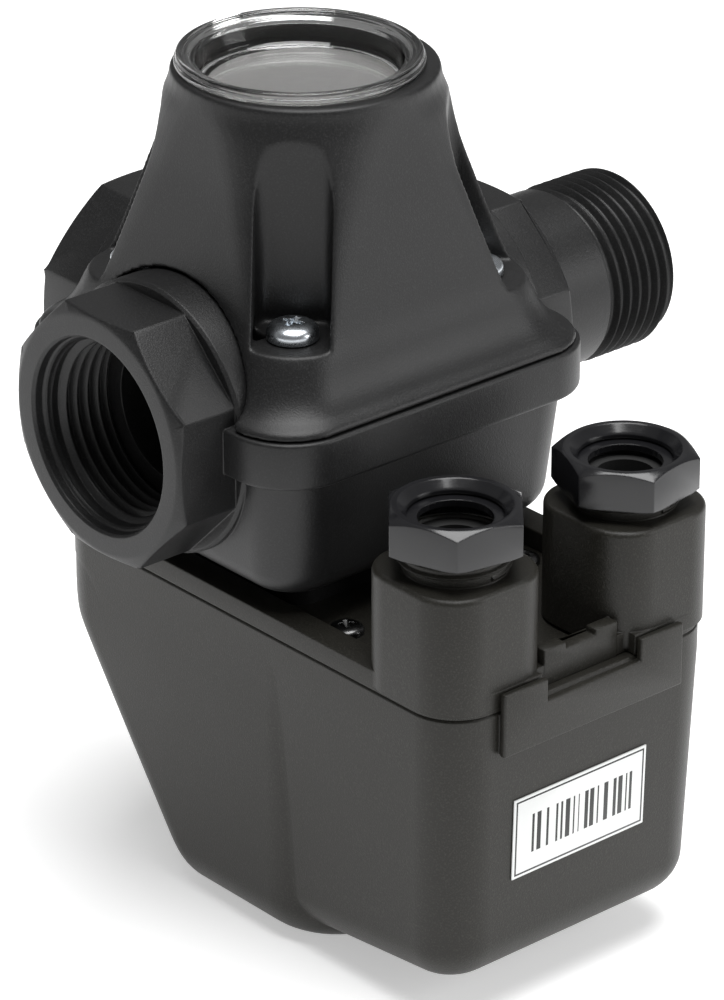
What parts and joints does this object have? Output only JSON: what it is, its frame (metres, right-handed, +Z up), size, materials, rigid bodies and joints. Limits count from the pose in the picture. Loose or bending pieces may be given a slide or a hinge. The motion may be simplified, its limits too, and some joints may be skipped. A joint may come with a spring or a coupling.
{
  "type": "pump pressure switch",
  "caption": "Pump pressure switch: a three-port water body under a bell-shaped cover with a clear cap, on a box of electronics with two cable glands.",
  "frame": {"origin": "centre of the flat standing face under the box", "axes": "+Z up through the cover, +X towards the cable glands and the label, +Y along the male port"},
  "size_m": [0.1209, 0.1213, 0.1507],
  "materials": {
    "black_nylon": "satin black moulded nylon with a fine speckled grain",
    "box_black": "slightly warmer satin black moulding with a fine grain",
    "nut_black": "glossy black",
    "clear_cap": "clear polycarbonate",
    "pale_grey": "pale grey",
    "steel": "zinc plated",
    "rubber": "black rubber",
    "white_plastic": "natural white plastic",
    "magnet": "sintered magnet",
    "board_green": "green solder mask",
    "relay_blue": "blue relay case",
    "capacitor_red": "red epoxy",
    "transformer": "iron core and copper under yellow tape",
    "terminal_green": "green terminal housing",
    "sensor_glass": "glass reed tube",
    "light_green": "clear green lens",
    "light_amber": "clear amber lens",
    "light_red": "clear red lens",
    "label_white": "white printed foil"
  },
  "bodies": {
    "housing": {"board_screw_1": "steel", "board_screw_2": "steel", "body_screw_front_left": "steel", "body_screw_front_right": "steel", "body_screw_rear_left": "steel", "body_screw_rear_right": "steel", "box_lid": "box_black", "circuit_board": "board_green", "clear_cap": "clear_cap", "cone_cover": "black_nylon", "control_box": "box_black", "cover_screw_front_left": "steel", "cover_screw_front_right": "steel", "cover_screw_rear_left": "steel", "cover_screw_rear_right": "steel", "diaphragm": "rubber", "flow_sensor": "sensor_glass", "gland_seal_left": "rubber", "gland_seal_right": "rubber", "hydraulic_body": "black_nylon", "lid_gasket": "rubber", "lid_screw_left": "steel", "lid_screw_right": "steel", "panel_board": "board_green", "rating_label": "label_white", "relay": "relay_blue", "sight_disc": "pale_grey", "status_light_fault": "light_red", "status_light_power": "light_green", "status_light_pump": "light_amber", "storage_spring": "steel", "supply_capacitor": "capacitor_red", "terminal_block": "terminal_green", "transformer": "transformer", "valve_guide": "white_plastic", "valve_spring": "steel"},
    "diaphragm_plate": {"diaphragm_plate": "white_plastic"},
    "valve": {"check_valve": "white_plastic", "valve_seal": "rubber", "valve_clip": "steel", "valve_magnet": "magnet"},
    "reset_button": {"reset_button": "nut_black"},
    "washer_left": {"gland_washer_left": "white_plastic"},
    "nut_left": {"gland_nut_left": "nut_black"},
    "washer_right": {"gland_washer_right": "white_plastic"},
    "nut_right": {"gland_nut_right": "nut_black"}
  },
  "joints": [
    {"name": "diaphragm_stroke", "type": "slide", "parent": "housing", "child": "diaphragm_plate", "axis": [0, 0, 1], "range_m": [0, 0.006], "stiffness_N_per_m": 1500, "springref_m": -0.004, "deforming": ["storage_spring"]},
    {"name": "valve_lift", "type": "slide", "parent": "housing", "child": "valve", "axis": [0, -1, 0], "range_m": [0, 0.006], "stiffness_N_per_m": 80, "springref_m": -0.003, "deforming": ["valve_spring"]},
    {"name": "button_press", "type": "slide", "parent": "housing", "child": "reset_button", "axis": [0.809, 0, 0.5878], "range_m": [0, 0.0015], "stiffness_N_per_m": 500, "springref_m": -0.001},
    {"name": "gland_lift_left", "type": "slide", "parent": "housing", "child": "washer_left", "axis": [0, 0, 1], "range_m": [-0.002, 0.0015]},
    {"name": "nut_turn_left", "type": "hinge", "parent": "washer_left", "child": "nut_left", "pos_m": [0.0417, -0.01935, 0.0925], "axis": [0, 0, 1], "range_deg": [-486, 366]},
    {"name": "gland_lift_right", "type": "slide", "parent": "housing", "child": "washer_right", "axis": [0, 0, 1], "range_m": [-0.00025, 0.003]},
    {"name": "nut_turn_right", "type": "hinge", "parent": "washer_right", "child": "nut_right", "pos_m": [0.0417, 0.01935, 0.0925], "axis": [0, 0, 1], "range_deg": [-66, 726]}
  ],
  "couplings": [
    {"joint": "nut_turn_left", "follows": "gland_lift_left", "rad_per_m": 4188.8},
    {"joint": "nut_turn_right", "follows": "gland_lift_right", "rad_per_m": 4188.8}
  ]
}
